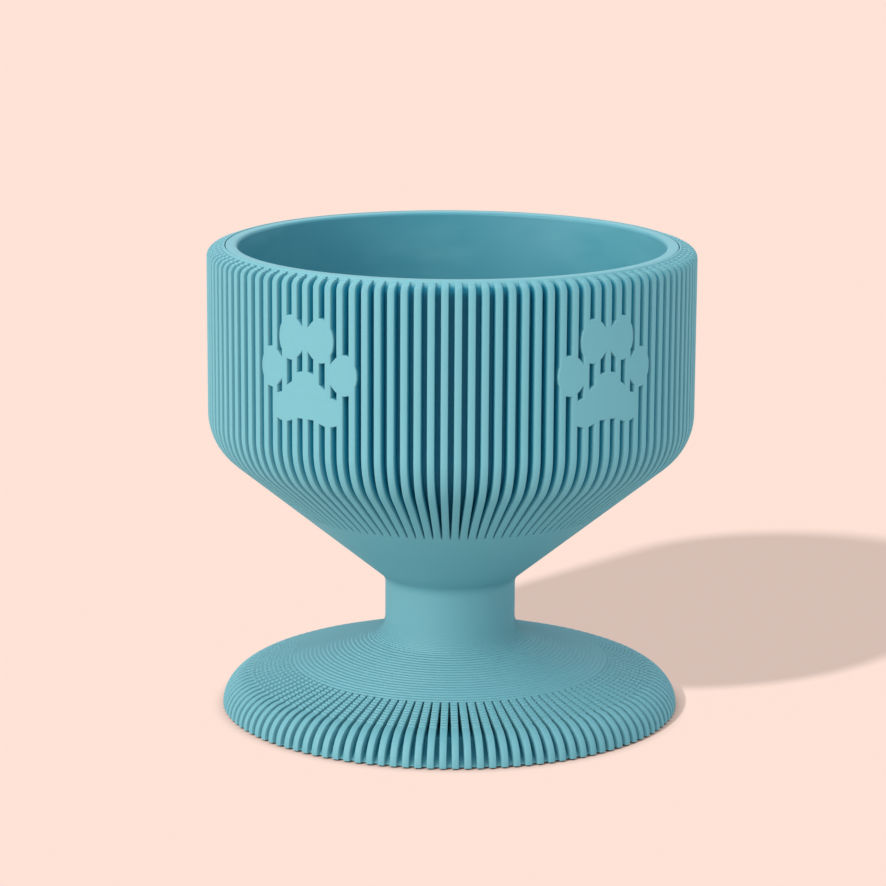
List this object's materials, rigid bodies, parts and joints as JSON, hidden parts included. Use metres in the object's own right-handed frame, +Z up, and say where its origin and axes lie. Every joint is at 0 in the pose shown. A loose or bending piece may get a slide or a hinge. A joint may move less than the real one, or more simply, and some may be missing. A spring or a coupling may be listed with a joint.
{
  "type": "pedestal pet bowl",
  "caption": "Raised round pet cup on a stem and domed foot, ribbed all round with raised paw emblems, and a smooth liner that lifts out of the cup.",
  "frame": {"origin": "centre of the footprint, on the surface that the rubber pads stand on", "axes": "+Z up along the stem's axis; one fin points along -Y, midway between the two front paw emblems"},
  "size_m": [0.14, 0.14, 0.136],
  "materials": {
    "ribbed_print": "matte teal plastic with fine print layers",
    "liner_print": "smooth satin teal plastic",
    "cover_print": "matte teal plastic",
    "screw_steel": "zinc-plated steel",
    "insert_brass": "turned brass",
    "pad_rubber": "matte black rubber"
  },
  "bodies": {
    "stand": {"cup_shell": "ribbed_print", "pedestal": "ribbed_print", "clamp_screw": "screw_steel", "screw_washer": "screw_steel", "threaded_insert": "insert_brass", "screw_cover": "cover_print", "grip_pad_1": "pad_rubber", "grip_pad_2": "pad_rubber", "grip_pad_3": "pad_rubber", "grip_pad_4": "pad_rubber"},
    "liner": {"bowl_liner": "liner_print"}
  },
  "joints": [
    {"name": "liner_lift", "type": "slide", "parent": "stand", "child": "liner", "axis": [0, 0, 1], "range_m": [0, 0.08]}
  ]
}
